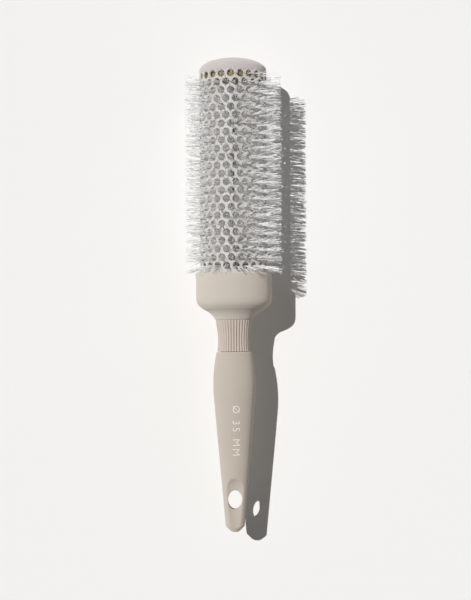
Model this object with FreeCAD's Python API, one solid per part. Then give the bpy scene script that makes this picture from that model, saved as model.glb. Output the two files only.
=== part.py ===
import FreeCAD, Part

import math
import os

from FreeCAD import Vector

# Round thermal styling brush: a perforated barrel on a waisted handle, with bristle
# rows that grow from a twisted wire core and come out through the barrel's vents.
#
# Row frame: +Z up, the brush lies on its bristles, the handle points to -Y and the
# origin is under the middle of its box. Every piece is drawn about the Y axis with
# y = 0 just under the collar's top face, and save() moves it to its place in the row frame.
# Outlines of turned pieces are lists of (radius, y). All lengths are millimetres.

os.makedirs("parts", exist_ok=True)

AXIS = Vector(0, 1, 0)
UP = Vector(0, 0, 1)
ORIGIN = Vector(0, 0, 0)
GAP = 0.05  # radial clearance between pieces that slide together

# Driving dimensions: the barrel and its vents
BARREL_R = 17.5
BARREL_WALL = 0.8
BARREL_TOP = 104.7
BARREL_FOOT = -10.0
VENTS = 22  # in one ring
ROWS = 24
ROW_PITCH = 4.281
LAST_ROW = 3.97  # the ring of vents next to the collar
VENT_R = 1.89
VENT_PITCH = 360.0 / VENTS
FIRST_VENT = -3.92  # degrees from +Z towards +X, in the ring next to the end cap

# Bristles and their core
TRIM_R = 25.75  # the bristles are cut to this radius
TUFT_ROOT_R = 0.3
TUFT_TIP_R = 1.15
ROOT_RING_R = 2.6
ROOT_RING_HEIGHT = 1.6
WIRE_R = 0.97
WIRE_LEAD = 12.0
WIRE_FROM = -8.5
WIRE_TO = 101.2
WIRE_SOCKET_R = 2.1

# End cap and the heat-resistant plug under it
DOME_BASE = 106.3
DOME_HEIGHT = 6.4
CAP_WALL = 1.8
PLUG_R = 15.4
PLUG_FOOT = 99.3

# Hub that closes the barrel's other end, with its fasteners
HUB_TOP = 1.2
HUB_PLATE = 2.7
HUB_SKIRT = 2.2
HUB_BOSS_R = 7.0
FERRULE_R = 4.2
PIN_R = 1.0
PIN_Y = -6.0
SCREW_R = 1.2
SCREW_CIRCLE_R = 10.8
SCREW_HEAD_R = 2.3
SCREW_HEAD = 1.5
FIXINGS = 3  # pins, and screws, evenly spaced

# Collar, stem and neck
COLLAR_R = 19.8
COLLAR_TOP = 0.8
COLLAR_ROUND = 1.3
COLLAR_SIDE = -11.5
COLLAR_LIP = -23.5
COLLAR_CAVITY_R = 18.0
FLANGE_R = 17.9
FLANGE_FOOT = -12.4
STEM_R = 7.3
STEM_BORE_R = 4.6
STEM_END = -62.0
NECK_END = -40.2
RIBS = 36
RIB_GROOVE = 0.55
RIB_DEPTH = 0.75

# Handle and its hanging hole
GRIP_END = -134.2
GRIP_EDGE = -131.1
CHAMFER_END = -133.5
CAVITY_END = -97.0
EYE_Y = -117.2
EYE_HALF_LENGTH = 5.05
EYE_HALF_WIDTH = 3.7
SCOOP_R = 9.0
SCOOP_OFFSET = 12.93
SCOOP_Y = -112.6


def vent_angle(row, vent):
    """Degrees from +Z towards +X. Every other ring is turned by half a pitch."""
    return FIRST_VENT - (row % 2) * VENT_PITCH / 2 + vent * VENT_PITCH


def row_y(row):
    """Rows count from the end cap, which is row 0."""
    return LAST_ROW + (ROWS - 1 - row) * ROW_PITCH


def spoke(angle):
    """Unit vector that points away from the axis at this vent angle."""
    turn = math.radians(angle)
    return Vector(math.sin(turn), 0, math.cos(turn))


def tuft_reach(angle):
    """How far below the axis a tuft's flat end comes."""
    down = spoke(angle)
    return -TRIM_R * down.z + TUFT_TIP_R * abs(down.x)


AXIS_Z = max(tuft_reach(vent_angle(row, vent)) for row in (0, 1) for vent in range(VENTS))
COLLAR_Y = -(DOME_BASE + DOME_HEIGHT + GRIP_END) / 2


def save(name, shape):
    """Check a piece, move it into the row frame and write its STEP file."""
    if not shape.isValid() or not shape.Solids:
        raise ValueError(name + " is not a valid solid")
    placed = shape.copy()
    placed.translate(Vector(0, COLLAR_Y, AXIS_Z))
    placed.exportStep("parts/" + name + ".step")
    print(name, len(shape.Solids), "solid(s)", round(shape.Volume / 1000, 3), "cm3")


def spun(edges):
    """Turn a closed outline of edges about the Y axis."""
    return Part.Face(Part.Wire(edges)).revolve(ORIGIN, AXIS, 360)


def point(radius, y):
    return Vector(radius, y, 0)


def line(start, end):
    return Part.LineSegment(point(*start), point(*end)).toShape()


def lines(points):
    return [line(start, end) for start, end in zip(points, points[1:])]


def curve(points, start_direction=None, end_direction=None):
    """A smooth curve through a few stations of an outline."""
    spline = Part.BSplineCurve()
    stations = [point(*station) for station in points]
    if start_direction and end_direction:
        spline.interpolate(
            Points=stations,
            InitialTangent=point(*start_direction),
            FinalTangent=point(*end_direction),
        )
    else:
        spline.interpolate(Points=stations)
    return spline.toShape()


def quarter(ellipse):
    """A quarter of an ellipse, from its widest point to the axis, as an exact spline."""
    return Part.ArcOfEllipse(ellipse, 0, math.pi / 2).toBSpline().toShape()


def turned(points):
    """Turn a closed outline of straight lines."""
    return spun(lines(points + points[:1]))


def tube(inner, outer, foot, top):
    return turned([(inner, foot), (outer, foot), (outer, top), (inner, top)])


def radial_rod(radius, start, end, angle, y):
    """A rod along a spoke, from one distance off the axis to another."""
    out = spoke(angle)
    return Part.makeCylinder(radius, end - start, out * start + Vector(0, y, 0), out)


def around(shape, angle):
    """A copy turned about the Y axis."""
    turned_copy = shape.copy()
    turned_copy.rotate(ORIGIN, AXIS, angle)
    return turned_copy


def evenly(shape, count):
    return [around(shape, index * 360.0 / count) for index in range(count)]


def make_barrel_tube():
    """Ceramic-coated aluminium tube with staggered rings of vents."""
    shell = tube(BARREL_R - BARREL_WALL, BARREL_R, BARREL_FOOT, BARREL_TOP)
    start = BARREL_R - 2 * BARREL_WALL
    end = BARREL_R + BARREL_WALL
    vents = [
        radial_rod(VENT_R, start, end, vent_angle(row, vent), row_y(row))
        for row in range(ROWS)
        for vent in range(VENTS)
    ]
    pin_holes = evenly(radial_rod(PIN_R + GAP, start, end, 0, PIN_Y), FIXINGS)
    return shell.cut(Part.makeCompound(vents + pin_holes))


def make_end_cap():
    """Domed cap: a half-ellipse shell whose rim rests on the barrel's end."""
    dome = Part.Ellipse(point(0, DOME_BASE), BARREL_R, DOME_HEIGHT)
    hollow = Part.Ellipse(point(0, DOME_BASE), BARREL_R - CAP_WALL, DOME_HEIGHT - CAP_WALL)
    top = DOME_BASE + DOME_HEIGHT
    inner_r = BARREL_R - CAP_WALL
    outer_arc = quarter(dome)
    inner_arc = quarter(hollow)
    foot = [(inner_r, DOME_BASE), (inner_r, BARREL_TOP), (BARREL_R, BARREL_TOP), (BARREL_R, DOME_BASE)]
    crown = line((0, top), (0, top - CAP_WALL))
    return spun(lines(foot) + [outer_arc, crown, inner_arc])


def make_end_plug():
    """Tan heat-resistant plug. Its flange fits the tube and its foot takes the wires' tip."""
    flange_foot = BARREL_TOP - 1.0
    flange_r = BARREL_R - BARREL_WALL - GAP
    boss_r = BARREL_R - CAP_WALL - GAP
    wall_r = PLUG_R - 2.0
    socket_top = WIRE_TO + 0.5
    roof = flange_foot - 1.0
    return turned(
        [
            (WIRE_SOCKET_R, PLUG_FOOT),
            (PLUG_R, PLUG_FOOT),
            (PLUG_R, flange_foot),
            (flange_r, flange_foot),
            (flange_r, BARREL_TOP),
            (boss_r, BARREL_TOP),
            (boss_r, DOME_BASE),
            (wall_r, DOME_BASE),
            (wall_r, roof),
            (0, roof),
            (0, socket_top),
            (WIRE_SOCKET_R, socket_top),
        ]
    )


def make_core_wire(side):
    """One of the two steel wires, twisted together, that grip the bristles."""
    helix = Part.makeHelix(WIRE_LEAD, WIRE_TO - WIRE_FROM, 1.0)
    along = Vector(0, 2 * math.pi, WIRE_LEAD)
    section = Part.Wire(Part.Circle(Vector(1, 0, 0), along, WIRE_R).toShape())
    wire = Part.Wire(helix).makePipeShell([section], True, True)
    wire.rotate(ORIGIN, UP, 180 * side)
    wire.rotate(ORIGIN, Vector(1, 0, 0), -90)
    wire.translate(Vector(0, WIRE_FROM, 0))
    return wire


def make_bristle_row(row):
    """The tufts of one ring of vents and the root ring that holds them on the wires."""
    ring = tube(WIRE_SOCKET_R, ROOT_RING_R, -ROOT_RING_HEIGHT / 2, ROOT_RING_HEIGHT / 2)
    start = (WIRE_SOCKET_R + ROOT_RING_R) / 2
    length = TRIM_R - start
    tuft = Part.makeCone(TUFT_ROOT_R, TUFT_TIP_R, length, UP * start, UP)
    tufts = evenly(around(tuft, vent_angle(row, 0)), VENTS)
    whorl = ring.multiFuse(tufts)
    whorl.translate(Vector(0, row_y(row), 0))
    return whorl


def strand(path, radii):
    """A rod along a few (radius, y) points, as cones with a ball at each bend."""
    places = [Vector(0, y, radius) for radius, y in path]
    rods = []
    for index in range(len(places) - 1):
        run = places[index + 1] - places[index]
        rods.append(Part.makeCone(radii[index], radii[index + 1], run.Length, places[index], run))
    balls = [Part.makeSphere(radius, place) for place, radius in zip(places[1:-1], radii[1:-1])]
    return rods + balls


def make_end_bristle_row():
    """The row behind the end plug: a few tufts that bend round the plug to their vents."""
    root_y = row_y(1) - ROW_PITCH / 2
    gap_r = (PLUG_R + BARREL_R - BARREL_WALL) / 2
    vent_y = row_y(0)
    ring = tube(WIRE_SOCKET_R, ROOT_RING_R, root_y - ROOT_RING_HEIGHT / 2, root_y + ROOT_RING_HEIGHT / 2)
    tip_r = TRIM_R - 0.25  # the tufts lean, so their flat ends stay inside the trim
    path = [(2.35, root_y), (gap_r - 0.4, PLUG_FOOT - 1.3), (gap_r + 0.2, vent_y - 0.9), (tip_r, vent_y + 1.2)]
    pieces = strand(path, [0.3, 0.45, 0.5, 0.9])
    tufts = []
    for vent in range(0, VENTS, 3):
        tufts += [around(piece, vent_angle(0, vent)) for piece in pieces]
    return ring.multiFuse(tufts)


def make_wire_ferrule():
    """Brass sleeve crimped on the wires' root."""
    return tube(WIRE_SOCKET_R, FERRULE_R, WIRE_FROM - 0.5, HUB_TOP + 1.0)


def make_barrel_hub():
    """Tan heat-resistant hub: plate, skirt and boss, with a boss for each screw."""
    bore = FERRULE_R + GAP
    hub_r = BARREL_R - BARREL_WALL - GAP
    skirt_r = hub_r - HUB_SKIRT
    plate_foot = HUB_TOP - HUB_PLATE
    body = turned(
        [
            (bore, BARREL_FOOT),
            (HUB_BOSS_R, BARREL_FOOT),
            (HUB_BOSS_R, plate_foot),
            (skirt_r, plate_foot),
            (skirt_r, BARREL_FOOT),
            (hub_r, BARREL_FOOT),
            (hub_r, HUB_TOP),
            (bore, HUB_TOP),
        ]
    )
    boss_height = plate_foot - BARREL_FOOT + 0.5
    boss = Part.makeCylinder(2.7, boss_height, Vector(0, BARREL_FOOT, SCREW_CIRCLE_R), AXIS)
    pilot = Part.makeCylinder(SCREW_R + GAP, boss_height - 1.5, Vector(0, BARREL_FOOT, SCREW_CIRCLE_R), AXIS)
    pin_hole = radial_rod(PIN_R + GAP, skirt_r - 2, hub_r + 1, 60, PIN_Y)
    pilots = evenly(pilot, FIXINGS)
    pin_holes = [around(hole, -60) for hole in evenly(pin_hole, FIXINGS)]
    return body.multiFuse(evenly(around(boss, 60), FIXINGS)).cut(
        Part.makeCompound([around(hole, 60) for hole in pilots] + pin_holes)
    )


def make_barrel_pins():
    """Rivets through the tube's foot into the hub's skirt, hidden by the collar."""
    skirt_r = BARREL_R - BARREL_WALL - GAP - HUB_SKIRT
    shank = radial_rod(PIN_R, skirt_r - 0.4, BARREL_R + 0.02, 0, PIN_Y)
    head = radial_rod(1.7, BARREL_R + 0.02, COLLAR_CAVITY_R - 0.08, 0, PIN_Y)
    return Part.makeCompound(evenly(shank.fuse(head), FIXINGS))


def make_hub_screws():
    """Cross-headed screws that hold the stem's flange to the hub."""
    foot = Vector(0, FLANGE_FOOT, SCREW_CIRCLE_R)
    shank = Part.makeCylinder(SCREW_R, 8.0, foot, AXIS)
    head = Part.makeCylinder(SCREW_HEAD_R, SCREW_HEAD, foot, -AXIS)
    crown = max(head.Edges, key=lambda edge: -edge.BoundBox.Center.y)
    head = head.makeFillet(0.6, [crown])
    slot_depth = 0.9
    slot = Part.makeBox(2.4, slot_depth, 0.5)
    slot.translate(Vector(-1.2, FLANGE_FOOT - SCREW_HEAD, SCREW_CIRCLE_R - 0.25))
    cross = slot.copy()
    cross.rotate(foot, AXIS, 90)
    screw = shank.fuse(head).cut(slot).cut(cross)
    return Part.makeCompound(evenly(around(screw, 60), FIXINGS))


def make_collar():
    """Outer collar: a straight band with a rounded top edge and a shoulder that flows to the neck."""
    top_r = COLLAR_R - COLLAR_ROUND
    bulge = COLLAR_ROUND * (1 - math.sqrt(0.5))
    top_edge = Part.Arc(
        point(top_r, COLLAR_TOP),
        point(COLLAR_R - bulge, COLLAR_TOP - bulge),
        point(COLLAR_R, COLLAR_TOP - COLLAR_ROUND),
    ).toShape()
    lip_r = 9.7
    shoulder = curve(
        [(COLLAR_R, COLLAR_SIDE), (19.1, -15.0), (16.8, -17.3), (13.5, -19.4), (11.2, -21.4), (lip_r, COLLAR_LIP)],
        (0, -1),
        (-0.35, -1),
    )
    inner = [
        (lip_r, COLLAR_LIP),
        (STEM_R + GAP, COLLAR_LIP),
        (STEM_R + GAP, -21.6),
        (9.9, -20.2),
        (12.4, -17.9),
        (15.6, -15.9),
        (17.2, -14.2),
        (COLLAR_CAVITY_R, -12.6),
        (COLLAR_CAVITY_R, -2.5),
        (BARREL_R + GAP, -2.0),
        (BARREL_R + GAP, COLLAR_TOP),
        (top_r, COLLAR_TOP),
    ]
    side = line((COLLAR_R, COLLAR_TOP - COLLAR_ROUND), (COLLAR_R, COLLAR_SIDE))
    return spun([top_edge, side, shoulder] + lines(inner))


def make_stem():
    """Handle stem: a flange under the hub and a tube that runs through the neck into the grip."""
    body = turned(
        [
            (0, BARREL_FOOT),
            (FLANGE_R, BARREL_FOOT),
            (FLANGE_R, FLANGE_FOOT),
            (8.2, FLANGE_FOOT),
            (STEM_R, -15.5),
            (STEM_R, STEM_END),
            (STEM_BORE_R, STEM_END),
            (STEM_BORE_R, -13.5),
            (0, -13.0),
        ]
    )
    hole = Part.makeCylinder(SCREW_R + 0.2, 6, Vector(0, FLANGE_FOOT - 3, SCREW_CIRCLE_R), AXIS)
    glue_grooves = [tube(STEM_R - 0.5, STEM_R + 1, y, y + 1.2) for y in (-45.0, -50.0, -55.0, -60.0)]
    return body.cut(Part.makeCompound(evenly(around(hole, 60), FIXINGS) + glue_grooves))


def make_neck_sleeve():
    """Ribbed soft sleeve on the waist of the stem, between collar and grip."""
    top = COLLAR_LIP - GAP
    foot = NECK_END + GAP
    waist = [(9.65, top), (9.0, -27.7), (8.5, -32.5), (8.5, -35.5), (8.9, foot)]
    inner_r = STEM_R + GAP
    body = spun([curve(waist)] + lines([(8.9, foot), (inner_r, foot), (inner_r, top), (9.65, top)]))
    groove_edge = [(radius - RIB_DEPTH, y) for radius, y in waist]
    groove_edge[0] = (groove_edge[0][0], top + 1)
    groove_edge[-1] = (groove_edge[-1][0], foot - 1)
    outline = [curve(groove_edge)] + lines([groove_edge[-1], (12, foot - 1), (12, top + 1), groove_edge[0]])
    blade = Part.Face(Part.Wire(outline)).extrude(Vector(0, 0, RIB_GROOVE))
    blade.translate(Vector(0, 0, -RIB_GROOVE / 2))
    return body.cut(Part.makeCompound(evenly(blade, RIBS)))


def eye_cutters():
    """The hanging hole and the scoop that leads into it on both faces."""
    middle = point(0, EYE_Y)
    oval = Part.Ellipse(point(0, EYE_Y + EYE_HALF_LENGTH), point(EYE_HALF_WIDTH, EYE_Y), middle)
    hole = Part.Face(Part.Wire(oval.toShape())).extrude(UP * 40)
    hole.translate(UP * -20)
    cutters = [hole]
    for side in (1, -1):
        centre = Vector(0, SCOOP_Y, side * SCOOP_OFFSET)
        groove = Part.makeCylinder(SCOOP_R, 40, centre, -AXIS)
        cutters.append(Part.makeSphere(SCOOP_R, centre).fuse(groove))
    return cutters


def make_handle_body():
    """Waisted grip: moulded over a long core pin, solid at the tip round the hanging hole."""
    edge_r = 4.95
    grip = curve(
        [
            (9.45, NECK_END - 0.4),
            (10.55, -48.0),
            (11.05, -57.5),
            (10.3, -69.5),
            (9.25, -82.0),
            (8.15, -94.5),
            (7.05, -107.0),
            (5.95, -119.5),
            (edge_r, GRIP_EDGE),
        ]
    )
    chamfer = line((edge_r, GRIP_EDGE), (2.4, CHAMFER_END))
    butt = curve([(2.4, CHAMFER_END), (1.3, -134.03), (0, GRIP_END)], (-1, -0.6), (-1, 0))
    bore_r = STEM_R + GAP
    inner = [
        (0, GRIP_END),
        (0, CAVITY_END),
        (4.2, CAVITY_END + 1.0),
        (5.3, CAVITY_END + 3.5),
        (6.9, STEM_END - 1.0),
        (bore_r, STEM_END - 1.0),
        (bore_r, NECK_END),
        (9.05, NECK_END),
        (9.45, NECK_END - 0.4),
    ]
    body = spun([grip, chamfer, butt] + lines(inner))
    for cutter in eye_cutters():
        body = body.cut(cutter)
    return body


save("barrel_tube", make_barrel_tube())
save("end_cap", make_end_cap())
save("end_plug", make_end_plug())
save("core_wire_a", make_core_wire(0))
save("core_wire_b", make_core_wire(1))
save("bristle_row_01", make_end_bristle_row())
for number in range(2, ROWS + 1):
    save("bristle_row_%02d" % number, make_bristle_row(number - 1))
save("wire_ferrule", make_wire_ferrule())
save("barrel_hub", make_barrel_hub())
save("barrel_pins", make_barrel_pins())
save("hub_screws", make_hub_screws())
save("collar", make_collar())
save("stem", make_stem())
save("neck_sleeve", make_neck_sleeve())
save("handle_body", make_handle_body())
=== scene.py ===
# %% [markdown]
# # A round thermal brush
# A hair stylist's brush is a bundle of nylon filaments, gripped by twisted steel wires, that
# comes out through the vents of a coated aluminium tube. The handle is moulded plastic with a
# soft-touch finish. The engineering model already fixes every size, so this script starts from
# it, keeps the pieces that are hidden, and remakes the visible ones with finer edges, loose
# bristles and proper finishes.
#
# Everything is in metres. The brush lies along Y on its bristles, with the end cap towards +Y.

# %% Load the engineering model
import math
import random

import bmesh
import bpy
from mathutils import Matrix, Vector


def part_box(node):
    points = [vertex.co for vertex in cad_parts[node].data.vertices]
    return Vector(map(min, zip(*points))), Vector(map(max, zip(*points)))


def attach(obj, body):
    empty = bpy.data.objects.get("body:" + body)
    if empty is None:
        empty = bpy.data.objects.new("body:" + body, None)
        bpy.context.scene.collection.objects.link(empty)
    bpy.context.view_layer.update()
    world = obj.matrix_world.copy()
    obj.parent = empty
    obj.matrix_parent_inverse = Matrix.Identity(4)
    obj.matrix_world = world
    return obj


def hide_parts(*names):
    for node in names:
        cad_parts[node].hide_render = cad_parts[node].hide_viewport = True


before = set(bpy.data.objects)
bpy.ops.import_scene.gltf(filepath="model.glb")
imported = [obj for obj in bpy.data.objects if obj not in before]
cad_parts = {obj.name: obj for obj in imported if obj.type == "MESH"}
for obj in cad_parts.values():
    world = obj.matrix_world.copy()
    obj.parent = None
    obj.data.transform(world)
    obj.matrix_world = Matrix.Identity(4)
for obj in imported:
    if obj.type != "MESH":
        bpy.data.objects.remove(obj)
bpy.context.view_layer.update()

# %% [markdown]
# ## Sizes read from the model
# Where a node's box shows a size, such as the barrel's radius or the pitch of the rings, the size
# is measured from that box. A box can't show the shape of an outline, so the outlines of the
# collar, neck and grip are typed further down, with the same main sizes as in the engineering
# model.

# %% Measure the frame
MM = 0.001
VENTS = 22
ROWS = 24
VENT_PITCH = math.tau / VENTS
FIRST_VENT = math.radians(-3.92)
VENT_R = 1.89 * MM

barrel_low, barrel_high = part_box("barrel_tube")
cap_low, cap_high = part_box("end_cap")
grip_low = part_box("handle_body")[0]

AXIS_Z = (barrel_low.z + barrel_high.z) / 2
TIP_BELOW_COLLAR = 134.2 * MM
COLLAR_Y = grip_low.y + TIP_BELOW_COLLAR  # just under the collar's top face
BARREL_R = (cap_high.x - cap_low.x) / 2
BARREL_WALL = 0.8 * MM


def row_height(number):
    """Where a ring of vents lies along Y. Ring 1 is next to the end cap."""
    low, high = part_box("bristle_row_%02d" % number)
    return (low.y + high.y) / 2


last_row = row_height(ROWS)
ROW_PITCH = (row_height(2) - last_row) / (ROWS - 2)
TRIM_R = AXIS_Z
row_y = [last_row + (ROWS - 1 - index) * ROW_PITCH for index in range(ROWS)]
print("barrel radius %.2f mm, row pitch %.3f mm" % (BARREL_R / MM, ROW_PITCH / MM))


def vent_angle(row, vent):
    """Angle from straight up towards +X. Every other ring is turned by half a pitch."""
    return FIRST_VENT - (row % 2) * VENT_PITCH / 2 + vent * VENT_PITCH


# %% [markdown]
# ## Shader maths as plain expressions
# A material in Blender is a graph of nodes, and even `1 - mask` is a node. The small class below
# wraps a node's output, so that Python's own operators add those nodes. `Finish` holds one
# material and has one method that adds any other node: settings go in first, because some of them
# change which sockets the node has.


# %% A socket that understands arithmetic
class Value:
    def __init__(self, finish, socket):
        self.finish = finish
        self.socket = socket

    def maths(self, operation, first, second):
        return self.finish.add("ShaderNodeMath", {"operation": operation}, {0: first, 1: second})

    def __add__(self, other):
        return self.maths("ADD", self, other)

    def __sub__(self, other):
        return self.maths("SUBTRACT", self, other)

    def __mul__(self, other):
        return self.maths("MULTIPLY", self, other)

    def __truediv__(self, other):
        return self.maths("DIVIDE", self, other)

    def __rsub__(self, other):
        return self.maths("SUBTRACT", other, self)

    __radd__ = __add__
    __rmul__ = __mul__


# %% One material and its nodes
class Finish:
    def __init__(self, name):
        self.material = bpy.data.materials.new(name)
        self.material.use_nodes = True
        self.tree = self.material.node_tree
        self.tree.nodes.clear()
        self.place = self.add("ShaderNodeTexCoord", out="Object")

    def add(self, kind, settings=None, sockets=None, out=0):
        node = self.tree.nodes.new(kind)
        for name, setting in (settings or {}).items():
            if name == "stops":
                self.set_stops(node.color_ramp, setting)
            else:
                setattr(node, name, setting)
        for name, value in (sockets or {}).items():
            if isinstance(value, Value):
                self.tree.links.new(value.socket, node.inputs[name])
            else:
                node.inputs[name].default_value = value
        return Value(self, node.outputs[out]) if node.outputs else None

    def set_stops(self, ramp, stops):
        while len(ramp.elements) < len(stops):
            ramp.elements.new(0.5)
        for element, (position, level) in zip(ramp.elements, stops):
            element.position = position
            element.color = (level, level, level, 1)

    def noise(self, size, detail=2.0, place=None):
        """Cloudy values from 0 to 1 whose blobs are about this size, in metres."""
        sockets = {"Vector": place or self.place, "Scale": 1 / size, "Detail": detail}
        return self.add("ShaderNodeTexNoise", {}, sockets)

    def ramp(self, value, *stops):
        return self.add("ShaderNodeValToRGB", {"stops": stops}, {0: value})

    def mix(self, factor, first, second):
        """Blend two colours."""
        sockets = {0: factor, 6: first, 7: second}
        return self.add("ShaderNodeMix", {"data_type": "RGBA"}, sockets, out=2)

    def bump(self, height, depth, under=None):
        """Turn a height from 0 to 1 into a shading normal, for relief this deep in metres."""
        sockets = {"Height": height, "Distance": depth, "Strength": 1.0}
        if under:
            sockets["Normal"] = under
        return self.add("ShaderNodeBump", {}, sockets)

    def edges(self):
        """1 on worn outer edges and 0 elsewhere."""
        pointed = self.add("ShaderNodeNewGeometry", out="Pointiness")
        return self.ramp(pointed, (0.51, 0.0), (0.58, 1.0))

    def surface(self, **sockets):
        """Finish the material with a Principled shader. An underscore in a name stands for a space."""
        named = {name.replace("_", " "): value for name, value in sockets.items()}
        shader = self.add("ShaderNodeBsdfPrincipled", {}, named)
        self.add("ShaderNodeOutputMaterial", {}, {"Surface": shader})
        return self.material


def tint(red, green, blue):
    """A colour from the 0 to 255 numbers of a paint chart, made linear for the shader."""
    return tuple((level / 255) ** 2.2 for level in (red, green, blue)) + (1.0,)


def shade(colour, factor):
    return tuple(level * factor for level in colour[:3]) + (1.0,)


# %% [markdown]
# ## Soft-touch plastic
# The handle, collar and cap are moulded plastic under a rubbery lacquer. Real lacquer is never
# one flat colour: it has a fine grain that scatters light, a faint cloudiness, and it polishes
# where hands and hair rub it. The grain is a bump of about ten micrometres, and the polish is a
# change of roughness along edges and in broad patches.


# %% Soft-touch lacquer
def soft_touch(name, colour, roughness=0.60):
    finish = Finish(name)
    cloud = finish.noise(14 * MM, 3.0)
    speck = finish.noise(0.5 * MM, 2.0)
    base = finish.mix(cloud, shade(colour, 0.95), shade(colour, 1.05))
    base = finish.mix(finish.ramp(speck, (0.60, 0.0), (0.75, 0.25)), base, shade(colour, 0.86))
    worn = finish.edges()
    base = finish.mix(worn * 0.5, base, shade(colour, 1.16))
    gloss = roughness + cloud * 0.10 - worn * 0.12
    grain = finish.bump(finish.noise(0.16 * MM, 3.0), 0.012 * MM)
    return finish.surface(
        Base_Color=base, Roughness=gloss, Normal=grain, Specular_IOR_Level=0.25, Diffuse_Roughness=0.5
    )


collar_lacquer = soft_touch("soft_touch_collar", tint(205, 196, 185))
# The grip is a little darker than the collar: partly its own tone and partly painted shade for the
# light falling off towards the tip.
grip_lacquer_painted_shade = soft_touch("soft_touch_grip_painted_shade", tint(197, 187, 175))
cap_lacquer = soft_touch("soft_touch_cap", tint(203, 195, 193))
print("lacquers:", collar_lacquer.name, grip_lacquer_painted_shade.name, cap_lacquer.name)

# %% [markdown]
# ## Neck rubber
# The ribs of the neck are a softer rubber, slightly warmer in colour than the grip, with a finer
# and deeper grain.


# %% Ribbed rubber
def neck_rubber():
    colour = tint(200, 187, 175)
    finish = Finish("neck_rubber")
    cloud = finish.noise(6 * MM, 3.0)
    base = finish.mix(cloud, shade(colour, 0.94), shade(colour, 1.05))
    grain = finish.bump(finish.noise(0.12 * MM, 3.0), 0.014 * MM)
    return finish.surface(
        Base_Color=base, Roughness=0.60 + cloud * 0.12, Normal=grain, Specular_IOR_Level=0.35
    )


neck_finish = neck_rubber()
print("neck:", neck_finish.name)

# %% [markdown]
# ## Barrel coating
# The tube is sprayed with a pale ceramic enamel. Sprayed enamel dries with an orange-peel surface
# about a millimetre across, with tiny pinholes and darker specks, and it is thin and worn along
# the rims of the vents.


# %% Ceramic enamel on aluminium
def ceramic_coat():
    colour = tint(204, 201, 197)
    finish = Finish("ceramic_coat")
    cloud = finish.noise(9 * MM, 3.0)
    speck = finish.noise(0.35 * MM, 1.0)
    base = finish.mix(cloud, shade(colour, 0.96), shade(colour, 1.03))
    base = finish.mix(finish.ramp(speck, (0.66, 0.0), (0.78, 0.45)), base, shade(colour, 0.72))
    worn = finish.edges()
    base = finish.mix(worn * 0.35, base, tint(205, 204, 202))
    peel = finish.bump(finish.noise(0.9 * MM, 2.0), 0.02 * MM)
    fine = finish.bump(finish.noise(0.14 * MM, 2.0), 0.006 * MM, peel)
    return finish.surface(
        Base_Color=base,
        Roughness=0.52 + cloud * 0.14,
        Metallic=worn * 0.2,
        Normal=fine,
        Specular_IOR_Level=0.4,
        Diffuse_Roughness=0.8,
    )


barrel_finish = ceramic_coat()
print("barrel:", barrel_finish.name)

# %% [markdown]
# ## Nylon
# The filaments are milky nylon: white where light catches them, greyer towards the root, partly from
# powder and hair spray that collect there and partly as painted shade deep inside the barrel, and
# whitest at the cut tip. The distance from the axis places both, and Vector Math gives that distance.
# A faint mottling comes from the drawing of the nylon.
# Light scatters inside milky nylon and leaves it again all along the filament, even on its shaded
# side. A faint emission stands for that: it is a painted glow that lightens the filaments in shade
# and those seen inside the vents, and its strength is chosen.


# %% Drawn nylon
def from_axis(finish):
    """Distance of a point from the brush's axis, in metres."""
    centred = finish.add(
        "ShaderNodeVectorMath", {"operation": "SUBTRACT"}, {0: finish.place, 1: (0, 0, AXIS_Z)}
    )
    flat = finish.add("ShaderNodeVectorMath", {"operation": "MULTIPLY"}, {0: centred, 1: (1, 0, 1)})
    return finish.add("ShaderNodeVectorMath", {"operation": "LENGTH"}, {0: flat}, out="Value")


def drawn_nylon():
    white = tint(249, 249, 248)
    finish = Finish("drawn_nylon")
    reach = from_axis(finish) / TRIM_R
    # Greyer towards the root: partly dust and hair spray, partly painted shade deep inside the barrel.
    root_dust_and_shade = finish.ramp(reach, (0.25, 1.0), (0.75, 0.0))
    cut = finish.ramp(reach, (0.975, 0.0), (0.995, 1.0))
    streak = finish.noise(0.6 * MM, 2.0)
    base = finish.mix(streak, shade(white, 0.93), white)
    base = finish.mix(root_dust_and_shade * 0.3, base, tint(214, 212, 208))
    base = finish.mix(cut * 0.7, base, tint(250, 250, 249))
    grain = finish.bump(finish.noise(0.2 * MM, 2.0), 0.01 * MM)
    return finish.surface(
        Base_Color=base,
        Roughness=0.30 + cut * 0.3 + streak * 0.08,
        Normal=grain,
        Specular_IOR_Level=0.5,
        # Painted glow: the emission lightens the filaments where they lie in shade.
        Emission_Color=base,
        Emission_Strength=0.055,
    )


nylon_finish = drawn_nylon()
print("bristles:", nylon_finish.name)

# %% [markdown]
# ## Hidden pieces
# The plug, hub, wires, ferrule, pins, screws and stem keep the meshes of the engineering model.
# They show only through vents or from the ends, but each gets a real finish: heat-resistant resin
# is full of pale filler, the core wires are galvanised, and the ferrule is drawn brass.


# %% Heat-resistant resin
def filled_resin():
    colour = tint(150, 128, 84)
    finish = Finish("heat_resin")
    cloud = finish.noise(3 * MM, 3.0)
    filler = finish.ramp(finish.noise(0.4 * MM, 2.0), (0.56, 0.0), (0.66, 0.6))
    base = finish.mix(cloud, shade(colour, 0.86), shade(colour, 1.10))
    base = finish.mix(filler, base, tint(176, 156, 118))
    grain = finish.bump(finish.noise(0.3 * MM, 3.0), 0.02 * MM)
    return finish.surface(Base_Color=base, Roughness=0.55 + cloud * 0.15, Normal=grain)


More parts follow.
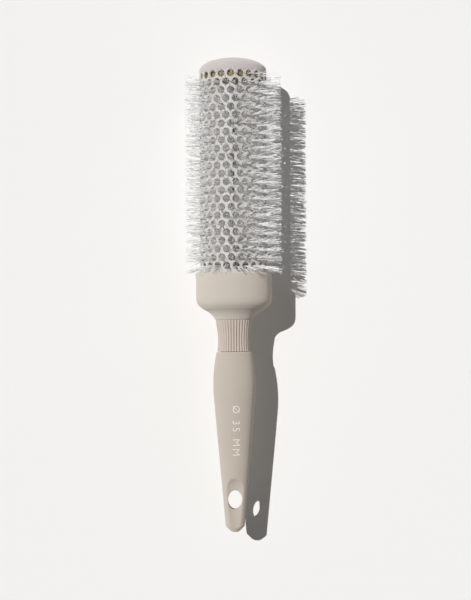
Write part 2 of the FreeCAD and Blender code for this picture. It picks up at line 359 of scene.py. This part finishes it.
# %% Bare metals
def bare_metal(name, colour, roughness, spangle):
    """A drawn or plated metal: streaks along the brush, over patches of this size."""
    finish = Finish(name)
    stretch = finish.add("ShaderNodeMapping", {}, {"Vector": finish.place, "Scale": (1, 0.08, 1)})
    streak = finish.noise(0.12 * MM, 2.0, stretch)
    patch = finish.noise(spangle, 2.0)
    base = finish.mix(patch, shade(colour, 0.82), shade(colour, 1.12))
    relief = finish.bump(streak, 0.008 * MM)
    gloss = roughness + patch * 0.15 + streak * 0.08
    return finish.surface(Base_Color=base, Metallic=1.0, Roughness=gloss, Normal=relief)


# %% Give the carried-over nodes their finishes
resin_finish = filled_resin()
kept = {
    "end_plug": resin_finish,
    "barrel_hub": resin_finish,
    "core_wire_a": bare_metal("galvanised_wire", tint(190, 192, 194), 0.30, 1.2 * MM),
    "wire_ferrule": bare_metal("drawn_brass", tint(214, 178, 104), 0.26, 2.0 * MM),
    "barrel_pins": bare_metal("zinc_plate", tint(200, 201, 204), 0.24, 1.6 * MM),
    "stem": soft_touch("stem_plastic", tint(190, 180, 168), 0.60),
}
kept["core_wire_b"] = kept["core_wire_a"]
kept["hub_screws"] = kept["barrel_pins"]
for node_name, finish_used in kept.items():
    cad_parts[node_name].material_slots[0].material = finish_used
print("kept from the model:", ", ".join(sorted(kept)))

# %% [markdown]
# ## Helpers for new pieces
# Most of the brush is turned about one axis, so a piece is an outline spun through a full circle.
# The outline is a Bezier curve: a smooth point lets Blender work out its handles, and a corner
# point makes a sharp edge. Blender turns the curve into a chain of edges, and `bmesh.ops.spin`
# sweeps that chain.


# %% Outline and spin
def outline_mesh(points, steps):
    """A chain of edges through points in mm: (radius, y from COLLAR_Y, "smooth" or "corner")."""
    curve = bpy.data.curves.new("outline", "CURVE")
    curve.dimensions = "3D"
    curve.resolution_u = steps
    spline = curve.splines.new("BEZIER")
    spline.bezier_points.add(len(points) - 1)
    for knot, (radius, distance, kind) in zip(spline.bezier_points, points):
        knot.co = (radius * MM, distance * MM + COLLAR_Y, 0)
        handle = "AUTO" if kind == "smooth" else "VECTOR"
        knot.handle_left_type = handle
        knot.handle_right_type = handle
    holder = bpy.data.objects.new("outline", curve)
    mesh = bpy.data.meshes.new_from_object(holder)
    bpy.data.objects.remove(holder)
    bpy.data.curves.remove(curve)
    return mesh


def spun(points, around=144, steps=8):
    """The outline swept about the brush's axis, as a bmesh with its faces outward."""
    mesh = outline_mesh(points, steps)
    shape = bmesh.new()
    shape.from_mesh(mesh)
    bpy.data.meshes.remove(mesh)
    bmesh.ops.remove_doubles(shape, verts=shape.verts, dist=1e-6)
    bmesh.ops.spin(
        shape,
        geom=shape.verts[:] + shape.edges[:],
        cent=(0, 0, 0),
        axis=(0, 1, 0),
        angle=math.tau,
        steps=around,
        use_merge=True,
    )
    bmesh.ops.remove_doubles(shape, verts=shape.verts, dist=2e-6)
    bmesh.ops.translate(shape, verts=shape.verts, vec=(0, 0, AXIS_Z))
    bmesh.ops.recalc_face_normals(shape, faces=shape.faces)
    return shape


# %% Turn a bmesh into a finished piece
def in_scene(name, shape):
    """A bmesh as an object in the scene."""
    mesh = bpy.data.meshes.new(name)
    shape.to_mesh(mesh)
    shape.free()
    piece = bpy.data.objects.new(name, mesh)
    bpy.context.scene.collection.objects.link(piece)
    return piece


def finished(name, shape, finish, smooth_below=35):
    """A piece with its material, shaded smooth except across edges sharper than this angle."""
    piece = in_scene(name, shape)
    piece.data.materials.append(finish)
    piece.data.shade_smooth()
    piece.data.set_sharp_from_angle(angle=math.radians(smooth_below))
    print("%s: %d faces" % (name, len(piece.data.polygons)))
    return piece


def fit(piece, node):
    """Let a piece stand for its engineering node and move with the brush."""
    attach(piece, "root")
    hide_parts(node)


# %% [markdown]
# ## End cap
# The cap is a shallow dome, half an ellipse in section, with a short straight rim that rests on
# the tube. A quarter ellipse needs only a few smooth points. The hollow inside is kept, because
# the plug's rim fits it.

# %% Domed end cap
CAP_WALL = 1.8
CAP_RIM = 1.6
barrel_r = BARREL_R / MM
rim = (cap_low.y - COLLAR_Y) / MM
apex = (cap_high.y - COLLAR_Y) / MM
dome = apex - rim - CAP_RIM


def dome_points(radius, height, count=7):
    """Points of a quarter ellipse from its rim to its apex."""
    turns = [math.pi / 2 * index / (count - 1) for index in range(count)]
    base = rim + CAP_RIM
    return [(radius * math.cos(turn), base + height * math.sin(turn), "smooth") for turn in turns]


inside = dome_points(barrel_r - CAP_WALL, dome - CAP_WALL)
inside[-1] = (0, inside[-1][1], "corner")
outside = dome_points(barrel_r, dome)
outside[-1] = (0, apex, "corner")
foot = [
    (barrel_r - CAP_WALL, rim, "corner"),
    (barrel_r - 0.25, rim, "corner"),
    (barrel_r - 0.03, rim + 0.12, "smooth"),
    (barrel_r, rim + 0.4, "smooth"),
]
cap = finished("domed_cap", spun(inside[::-1] + foot + outside), cap_lacquer)
fit(cap, "end_cap")

# %% [markdown]
# ## Collar
# The collar is a wide band with a rounded top edge. Its shoulder rolls over and then sweeps in to
# the neck, a convex curve that runs into a concave one. It is a shell, so the outline goes down
# the outside and comes back up the inside to the ring that grips the tube.

# %% Collar with a flowing shoulder
collar_outline = [
    (17.56, 0.8, "corner"),
    (18.4, 0.8, "corner"),
    (18.95, 0.70, "smooth"),
    (19.45, 0.38, "smooth"),
    (19.72, -0.05, "smooth"),
    (19.8, -0.7, "smooth"),
    (19.8, -6.0, "smooth"),
    (19.8, -11.0, "smooth"),
    (19.65, -13.2, "smooth"),
    (19.0, -15.2, "smooth"),
    (16.8, -17.3, "smooth"),
    (13.6, -19.3, "smooth"),
    (11.3, -21.3, "smooth"),
    (9.95, -23.1, "smooth"),
    (9.55, -23.5, "corner"),
    (7.35, -23.5, "corner"),
    (7.35, -21.6, "corner"),
    (9.9, -20.2, "smooth"),
    (12.4, -17.9, "smooth"),
    (15.6, -15.9, "smooth"),
    (17.2, -14.2, "smooth"),
    (18.0, -12.2, "smooth"),
    (18.0, -2.5, "corner"),
    (17.56, -2.0, "corner"),
    (17.56, 0.8, "corner"),
]
collar = finished("collar_shell", spun(collar_outline, 160), collar_lacquer)
fit(collar, "collar")

# %% [markdown]
# ## Ribbed neck
# The neck is a soft sleeve with 36 ribs. One could cut the grooves with 36 blades, but the ribs
# run straight along the brush, so it is simpler to make one wavy ring and pull it along: each new
# ring is an extrusion of the last, scaled to the waist's radius there.

# %% Wavy ring
RIBS = 36
RIB_STEPS = 8
RIB_DEPTH = 0.85
SLEEVE_BORE_R = 7.36 * MM
waist = [
    (9.6, -23.55),
    (9.55, -24.2),
    (9.1, -27.2),
    (8.65, -30.2),
    (8.48, -33.4),
    (8.5, -36.0),
    (8.75, -38.8),
    (8.9, -40.0),
]


def ridge(step):
    """Height of a rib above its groove, from 0 to 1: a full round ridge and a narrow groove."""
    return math.sin(math.pi * (step % RIB_STEPS) / RIB_STEPS) ** 0.45


def set_ring(ring, radius, distance):
    """Move a ring of vertices to its place along the neck."""
    for step, vertex in enumerate(ring):
        reach = (radius - RIB_DEPTH * (1 - ridge(step))) * MM
        turn = math.tau * step / len(ring)
        height = AXIS_Z + reach * math.cos(turn)
        vertex.co = (reach * math.sin(turn), distance * MM + COLLAR_Y, height)


# %% Pull the ring along the waist
neck = bmesh.new()
ring = bmesh.ops.create_circle(neck, segments=RIBS * RIB_STEPS, radius=1)["verts"]
set_ring(ring, *waist[0])
first_edges = neck.edges[:]
edges = first_edges
for radius, distance in waist[1:]:
    pulled = bmesh.ops.extrude_edge_only(neck, edges=edges)["geom"]
    edges = [part for part in pulled if isinstance(part, bmesh.types.BMEdge)]
    ring = [part for part in pulled if isinstance(part, bmesh.types.BMVert)]
    set_ring(ring, radius, distance)
for rim_edges in (first_edges, edges):
    pulled = bmesh.ops.extrude_edge_only(neck, edges=rim_edges)["geom"]
    inner = [part for part in pulled if isinstance(part, bmesh.types.BMVert)]
    for vertex in inner:
        spoke = Vector((vertex.co.x, 0, vertex.co.z - AXIS_Z)).normalized() * SLEEVE_BORE_R
        vertex.co = (spoke.x, vertex.co.y, AXIS_Z + spoke.z)
bores = [edge for edge in neck.edges if edge.is_boundary]
bmesh.ops.bridge_loops(neck, edges=bores)
bmesh.ops.recalc_face_normals(neck, faces=neck.faces)
fit(finished("ribbed_neck", neck, neck_finish, 60), "neck_sleeve")

# %% [markdown]
# ## Handle
# The grip swells under the palm, tapers to the tip and ends in a chamfer. Near the tip a scoop on
# each face leads into an oval hanging hole. The outline is spun, the scoops and the hole are cut
# away with booleans, and the result is remeshed in voxels of a third of a millimetre and
# smoothed. A bevel would fail on the ragged edges that a boolean leaves, but a voxel mesh comes
# out with every edge evenly softened, as a mould leaves it.

# %% Spin the grip
grip_outline = [
    (0.0, -134.2, "corner"),
    (1.6, -134.05, "smooth"),
    (2.5, -133.5, "corner"),
    (4.93, -131.1, "corner"),
    (5.95, -119.5, "smooth"),
    (7.05, -107.0, "smooth"),
    (8.15, -94.5, "smooth"),
    (9.25, -82.0, "smooth"),
    (10.3, -69.5, "smooth"),
    (11.05, -57.5, "smooth"),
    (10.55, -48.0, "smooth"),
    (9.5, -40.8, "corner"),
    (9.2, -40.2, "corner"),
    (7.4, -40.2, "corner"),
    (7.4, -62.5, "corner"),
    (5.2, -93.5, "corner"),
    (0.0, -96.0, "corner"),
]
grip = in_scene("tapered_grip", spun(grip_outline, 160, 14))
print("grip before cutting:", len(grip.data.polygons), "faces")

# %% Cutters for the hanging hole
EYE_Y = COLLAR_Y - 117.2 * MM
EYE_HALF_WIDTH = 3.7 * MM
EYE_HALF_LENGTH = 5.05 * MM
SCOOP_R = 9 * MM
SCOOP_OFFSET = 12.93 * MM
SCOOP_Y = COLLAR_Y - 112.6 * MM


def oval_cutter():
    """An upright oval prism, longer along the handle than across it."""
    shape = bmesh.new()
    bmesh.ops.create_cone(
        shape,
        cap_ends=True,
        segments=96,
        radius1=EYE_HALF_WIDTH,
        radius2=EYE_HALF_WIDTH,
        depth=30 * MM,
    )
    bmesh.ops.scale(shape, verts=shape.verts, vec=(1, EYE_HALF_LENGTH / EYE_HALF_WIDTH, 1))
    bmesh.ops.translate(shape, verts=shape.verts, vec=(0, EYE_Y, AXIS_Z))
    return in_scene("oval_cutter", shape)


def scoop_cutter(side):
    """A round-ended groove along the handle: a ball pulled towards the tip."""
    shape = bmesh.new()
    bmesh.ops.create_uvsphere(shape, u_segments=96, v_segments=48, radius=SCOOP_R)
    bmesh.ops.rotate(shape, verts=shape.verts, matrix=Matrix.Rotation(math.pi / 2, 3, "X"))
    tail = [vertex for vertex in shape.verts if vertex.co.y < -1e-6]
    bmesh.ops.translate(shape, verts=tail, vec=(0, -40 * MM, 0))
    centre = (0, SCOOP_Y, AXIS_Z + side * SCOOP_OFFSET)
    bmesh.ops.translate(shape, verts=shape.verts, vec=centre)
    return in_scene("scoop_cutter", shape)


# %% Cut, remesh and smooth
cutters = [oval_cutter(), scoop_cutter(1), scoop_cutter(-1)]
for tool in cutters:
    cut = grip.modifiers.new("cut", "BOOLEAN")
    cut.operation = "DIFFERENCE"
    cut.solver = "EXACT"
    cut.object = tool
remesh = grip.modifiers.new("remesh", "REMESH")
remesh.mode = "VOXEL"
remesh.voxel_size = 0.34 * MM
soften = grip.modifiers.new("soften", "SMOOTH")
soften.factor = 0.5
soften.iterations = 3
graph = bpy.context.evaluated_depsgraph_get()
moulded = bpy.data.meshes.new_from_object(grip.evaluated_get(graph))
grip.modifiers.clear()
grip.data = moulded
for tool in cutters:
    bpy.data.objects.remove(tool)
moulded.name = "tapered_grip"
moulded.materials.clear()
moulded.materials.append(grip_lacquer_painted_shade)
moulded.shade_smooth()
fit(grip, "handle_body")
print("grip:", len(moulded.polygons), "faces")

# %% [markdown]
# ## Size mark
# Such brushes carry the barrel's size on the grip. The mark is a flat text, made a mesh, turned
# to read down the handle and then pressed onto the grip with a Shrinkwrap modifier, which is
# applied so that nothing stays live.

# %% Print the barrel's size
text = bpy.data.curves.new("size_mark", "FONT")
text.body = "Ø 35 MM"
text.size = 5.3 * MM
text.space_character = 1.35
text.offset = -0.03 * MM
text.align_x = "CENTER"
text.align_y = "CENTER"
text.resolution_u = 6
holder = bpy.data.objects.new("size_mark", text)
mark_mesh = bpy.data.meshes.new_from_object(holder)
bpy.data.objects.remove(holder)
mark_shape = bmesh.new()
mark_shape.from_mesh(mark_mesh)
bmesh.ops.triangulate(mark_shape, faces=mark_shape.faces)
long_edges = [edge for edge in mark_shape.edges if edge.calc_length() > 0.5 * MM]
bmesh.ops.subdivide_edges(mark_shape, edges=long_edges, cuts=3)
bmesh.ops.rotate(mark_shape, verts=mark_shape.verts, matrix=Matrix.Rotation(-math.pi / 2, 3, "Z"))
mark_y = COLLAR_Y - 81 * MM
bmesh.ops.translate(mark_shape, verts=mark_shape.verts, vec=(0.6 * MM, mark_y, AXIS_Z + 14 * MM))
bmesh.ops.triangulate(mark_shape, faces=mark_shape.faces)
bpy.data.meshes.remove(mark_mesh)

# %% Press the mark onto the grip
ink = Finish("pale_ink")
blot = ink.noise(0.5 * MM, 3.0)
ink_base = ink.mix(ink.ramp(blot, (0.35, 0.5), (0.5, 0.0)), tint(240, 236, 228), tint(214, 203, 189))
ink_finish = ink.surface(Base_Color=ink_base, Roughness=0.45 + blot * 0.2)
mark = finished("size_mark", mark_shape, ink_finish)
press = mark.modifiers.new("press", "SHRINKWRAP")
press.target = grip
press.wrap_method = "PROJECT"
press.use_project_z = True
press.use_negative_direction = True
press.use_positive_direction = False
press.offset = 0.03 * MM
graph = bpy.context.evaluated_depsgraph_get()
pressed = bpy.data.meshes.new_from_object(mark.evaluated_get(graph))
mark.modifiers.clear()
mark.data = pressed
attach(mark, "root")
print("size mark:", len(pressed.polygons), "faces")

# %% [markdown]
# ## Perforated barrel
# The tube has 528 vents. Drilling them with booleans would be slow and leave ragged faces, so the
# wall is built from one tile: a square of wall round one vent. The tile is bent to the tube's
# radius, spun round with copies to make a ring, and the ring is repeated along the tube, with
# every other copy turned by half a pitch. The square has a corner or a middle point wherever its
# neighbours have one, so the tiles weld without gaps.

# %% One tile of the wall
TILE_SIDES = 16
half_girth = BARREL_R * VENT_PITCH / 2
half_pitch = ROW_PITCH / 2


def square(step):
    """How far right a point is, from -1 to 1, on a square's outline walked in 16 steps."""
    away = abs((step + 8) % TILE_SIDES - 8)
    return max(-1.0, min(1.0, 2 - away / 2))


tile = bmesh.new()
bmesh.ops.create_circle(tile, segments=TILE_SIDES, radius=VENT_R)
skirt = bmesh.ops.extrude_edge_only(tile, edges=tile.edges[:])["geom"]
border = [part for part in skirt if isinstance(part, bmesh.types.BMVert)]
for vertex in border:
    step = round(math.atan2(vertex.co.y, vertex.co.x) / (math.tau / TILE_SIDES))
    vertex.co = (square(step) * half_girth, square(step - 4) * half_pitch, 0)
for vertex in tile.verts:
    turn = vertex.co.x / BARREL_R + FIRST_VENT
    vertex.co = (BARREL_R * math.sin(turn), vertex.co.y, BARREL_R * math.cos(turn))
print("tile:", len(tile.faces), "faces")

# %% Spin the tile into a ring, and repeat the ring
tube = tile
bmesh.ops.spin(
    tube,
    geom=tube.verts[:] + tube.edges[:] + tube.faces[:],
    cent=(0, 0, 0),
    axis=(0, 1, 0),
    angle=math.tau - VENT_PITCH,
    steps=VENTS - 1,
    use_duplicate=True,
)
first_ring = tube.verts[:] + tube.edges[:] + tube.faces[:]
half_turn = Matrix.Rotation(-VENT_PITCH / 2, 3, "Y")
for index in range(1, ROWS):
    copy = bmesh.ops.duplicate(tube, geom=first_ring)["geom"]
    corners = [part for part in copy if isinstance(part, bmesh.types.BMVert)]
    if index % 2:
        bmesh.ops.rotate(tube, verts=corners, matrix=half_turn)
    bmesh.ops.translate(tube, verts=corners, vec=(0, row_y[index], 0))
corners = [part for part in first_ring if isinstance(part, bmesh.types.BMVert)]
bmesh.ops.translate(tube, verts=corners, vec=(0, row_y[0], 0))
bmesh.ops.remove_doubles(tube, verts=tube.verts, dist=8e-6)

# %% Add the plain ends and the wall's thickness
top_line = row_y[0] + half_pitch
foot_line = row_y[-1] - half_pitch
for line, end in ((top_line, barrel_high.y), (foot_line, barrel_low.y)):
    rim_edges = [
        edge for edge in tube.edges
        if edge.is_boundary and all(abs(vertex.co.y - line) < 1e-5 for vertex in edge.verts)
    ]
    pulled = bmesh.ops.extrude_edge_only(tube, edges=rim_edges)["geom"]
    for vertex in [part for part in pulled if isinstance(part, bmesh.types.BMVert)]:
        vertex.co.y = end
bmesh.ops.recalc_face_normals(tube, faces=tube.faces)
middles = [(face.normal, face.calc_center_median()) for face in tube.faces]
outward = sum(normal.x * middle.x + normal.z * middle.z for normal, middle in middles)
if outward < 0:
    bmesh.ops.reverse_faces(tube, faces=tube.faces)
bmesh.ops.solidify(tube, geom=tube.faces[:], thickness=BARREL_WALL)
reach = max(math.hypot(vertex.co.x, vertex.co.z) for vertex in tube.verts)
print("tube reaches %.3f mm from its axis" % (reach / MM))

# %% Ease the rims of the vents
SKIN = BARREL_R - 0.1 * MM  # vertices past this radius are on the outer face


def on_outer_rim(edge):
    """Whether an edge is a sharp one on the tube's outer face."""
    if len(edge.link_faces) != 2 or edge.calc_face_angle() <= 1.0:
        return False
    return all(math.hypot(vertex.co.x, vertex.co.z) > SKIN for vertex in edge.verts)


rims = [edge for edge in tube.edges if on_outer_rim(edge)]
bmesh.ops.bevel(
    tube,
    geom=rims,
    offset=0.11 * MM,
    offset_type="OFFSET",
    segments=1,
    profile=0.5,
    affect="EDGES",
    material=-1,
    clamp_overlap=True,
)
bmesh.ops.translate(tube, verts=tube.verts, vec=(0, 0, AXIS_Z))
barrel = finished("vented_barrel", tube, barrel_finish)
fit(barrel, "barrel_tube")

# %% [markdown]
# ## Bristles
# Each vent lets out a tuft of six to eight filaments, except in the first ring, where the plug is
# in the way and only about half of the vents let out three or four. The filaments grow from the
# wire core, squeeze through the vent and splay outside it, and the whole brush is then trimmed to
# a cylinder. A curve is the natural model of a filament: a spline of a few points with a round
# bevel. One curve object holds a whole ring of tufts and is made a mesh at the end. Each tuft has
# its own lean, and each filament its own place in the vent, splay and curl, all drawn from a
# seeded generator so that the brush grows the same way every time.

# %% How one filament grows
FILAMENT_R = 0.13 * MM
ROOT_R = 2.4 * MM
FILL = 0.78  # share of the vent's radius that a tuft takes up
SQUEEZE = 0.65  # a tuft is narrower along the brush than across it
SPLAY_ACROSS = 2.0
SPLAY_ALONG = 0.6
CURL = 9
draw = random.Random(31)


def filament(out, side, height, lean, spread):
    """Points of one filament, from its root to the trimmed tip."""
    turn = draw.uniform(0, math.tau)
    place = VENT_R * FILL * math.sqrt(draw.random())
    across, along = place * math.cos(turn), place * math.sin(turn) * SQUEEZE
    slope_across = across / BARREL_R * SPLAY_ACROSS + lean[0] + draw.gauss(0, spread)
    slope_along = along / BARREL_R * SPLAY_ALONG + lean[1] + draw.gauss(0, spread)
    curl_across, curl_along = draw.gauss(0, CURL), draw.gauss(0, CURL)
    trim = TRIM_R - FILAMENT_R - draw.uniform(0.05, 0.75) * MM
    points = []
    for part in (0.0, 0.35, 0.66, 0.78, 0.9, 1.0):
        reach = ROOT_R + part * (trim - ROOT_R)
        beyond = max(0.0, reach - BARREL_R * 0.97)
        inside = min(1.0, reach / BARREL_R)
        sideways = across * inside + slope_across * beyond + curl_across * beyond ** 2
        endways = along * inside + slope_along * beyond + curl_along * beyond ** 2
        upright = math.sqrt(max(reach ** 2 - sideways ** 2, 0))
        points.append(out * upright + side * sideways + Vector((0, height + endways, AXIS_Z)))
    return points


# %% Grow one ring of tufts
STRAY_SHARE = 0.08
STRAY_SPREAD = 0.16
TIDY_SPREAD = 0.045
LAST_RING_DROOP = -0.25  # the last tufts lean over the collar's edge


def add_spline(curve, points):
    spline = curve.splines.new("NURBS")
    spline.points.add(len(points) - 1)
    for knot, point in zip(spline.points, points):
        knot.co = (*point, 1)
    spline.order_u = 3
    spline.use_endpoint_u = True


def bristle_ring(number):
    curve = bpy.data.curves.new("bristles", "CURVE")
    curve.dimensions = "3D"
    curve.resolution_u = 1
    curve.bevel_depth = FILAMENT_R
    curve.bevel_resolution = 0
    curve.use_fill_caps = True
    for vent_number in range(VENTS):
        turn = vent_angle(number - 1, vent_number)
        out = Vector((math.sin(turn), 0, math.cos(turn)))
        side = Vector((math.cos(turn), 0, -math.sin(turn)))
        droop = LAST_RING_DROOP if number == ROWS else 0
        lean = (draw.gauss(0, 0.07), draw.gauss(droop, 0.05))
        count = draw.choice((6, 6, 7, 7, 8))
        if number == 1:
            count = draw.choice((0, 3, 4, 0))
        for _ in range(count):
            spread = STRAY_SPREAD if draw.random() < STRAY_SHARE else TIDY_SPREAD
            add_spline(curve, filament(out, side, row_y[number - 1], lean, spread))
    holder = bpy.data.objects.new("bristles", curve)
    mesh = bpy.data.meshes.new_from_object(holder)
    bpy.data.objects.remove(holder)
    bpy.data.curves.remove(curve)
    return mesh


# %% Grow all the rings
total = 0
for number in range(1, ROWS + 1):
    name = "bristles_%02d" % number
    shape = bmesh.new()
    ring_mesh = bristle_ring(number)
    shape.from_mesh(ring_mesh)
    bpy.data.meshes.remove(ring_mesh)
    total += len(shape.faces)
    piece = finished(name, shape, nylon_finish, 50)
    fit(piece, "bristle_row_%02d" % number)
print("all bristles:", total, "faces")

# %% [markdown]
# ## Floor, light and camera
# The brush lies on a plain pale sheet under one hard lamp from the upper left, which throws a
# crisp shadow, with a weak even fill and a broad reflector on the right. A Sun lamp gives
# parallel light, and its angle sets how soft the shadow's edge is.

# %% Pale floor
sheet = bmesh.new()
bmesh.ops.create_grid(sheet, x_segments=1, y_segments=1, size=12)
paper = Finish("pale_paper")
fibre = paper.noise(1.2 * MM, 2.0)
paper_base = paper.mix(fibre, tint(244, 243, 241), tint(247, 246, 244))
paper_finish = paper.surface(Base_Color=paper_base, Roughness=0.9, Specular_IOR_Level=0.1)
floor = finished("pale_floor", sheet, paper_finish)

# %% Key light and fill
def sun(name, energy, angle, travel):
    """A Sun lamp whose light travels this way, from a source this many degrees wide."""
    light = bpy.data.lights.new(name, "SUN")
    light.energy = energy
    light.angle = math.radians(angle)
    lamp = bpy.data.objects.new(name, light)
    lamp.rotation_mode = "QUATERNION"
    lamp.rotation_quaternion = Vector(travel).to_track_quat("-Z", "Y")
    bpy.context.scene.collection.objects.link(lamp)


sun("key_sun", 2.98, 0.7, (0.445, -0.285, -1.0))
sun("reflector", 0.24, 60, (-0.8, 0.1, -0.6))

world = bpy.data.worlds.new("fill")
world.use_nodes = True
background = world.node_tree.nodes["Background"]
background.inputs["Color"].default_value = (1.0, 0.985, 0.95, 1)
background.inputs["Strength"].default_value = 0.085
bpy.context.scene.world = world
bpy.context.scene.view_settings.view_transform = "Standard"

# %% Camera straight above the handle
LENS_HEIGHT = 0.790
VIEW_LENGTH = 0.3134
camera_data = bpy.data.cameras.new("camera")
camera_data.sensor_width = 36
camera_data.lens = 36 * LENS_HEIGHT / VIEW_LENGTH
camera_data.clip_start = 0.01
camera_data.clip_end = 10
camera_data.shift_y = 0.0983
camera = bpy.data.objects.new("camera", camera_data)
bpy.context.scene.collection.objects.link(camera)
eye = Vector((0.6 * MM, COLLAR_Y - 43.9 * MM, AXIS_Z + LENS_HEIGHT))
roll = Matrix.Rotation(math.radians(-0.31), 4, "Z")
camera.matrix_world = Matrix.Translation(eye) @ roll
bpy.context.scene.camera = camera
print("camera at", [round(value, 4) for value in eye])
